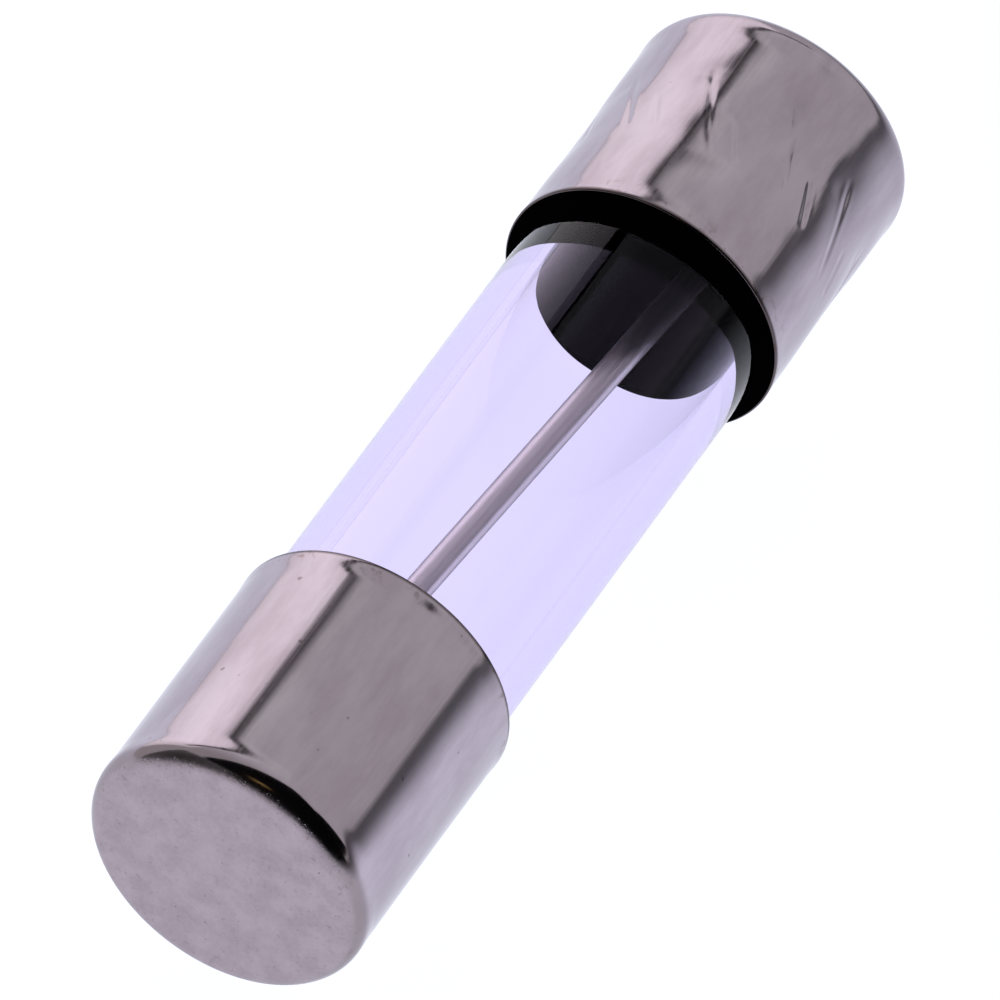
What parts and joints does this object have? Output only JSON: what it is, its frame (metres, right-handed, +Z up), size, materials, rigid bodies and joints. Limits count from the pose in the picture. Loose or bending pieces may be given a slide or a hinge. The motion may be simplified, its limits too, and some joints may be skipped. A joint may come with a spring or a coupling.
{
  "type": "cartridge fuse",
  "caption": "Miniature glass cartridge fuse: clear tube, straight fuse wire and nickel-plated end caps, one with stamped strokes. Protects a circuit from overcurrent.",
  "frame": {"origin": "middle of the fuse, on the axis of the tube", "axes": "+X along the tube's axis towards the stamped cap; +Z up when the fuse lies on its side; the wire lies in the XY plane"},
  "size_m": [0.02, 0.0052, 0.0052],
  "materials": {
    "glass": "clear, faint lavender cast",
    "nickel_plate": "bright nickel plating with fine draw lines",
    "tinned_wire": "tinned, satin, drawn lengthwise",
    "solder": "soft solder, slightly dull",
    "sealing_compound": "matte black"
  },
  "bodies": {
    "root": {"glass_tube": "glass", "plain_end_cap": "nickel_plate", "stamped_end_cap": "nickel_plate", "fuse_wire": "tinned_wire", "plain_end_solder": "solder", "stamped_end_solder": "solder", "plain_end_seal": "sealing_compound", "stamped_end_seal": "sealing_compound"}
  },
  "joints": []
}
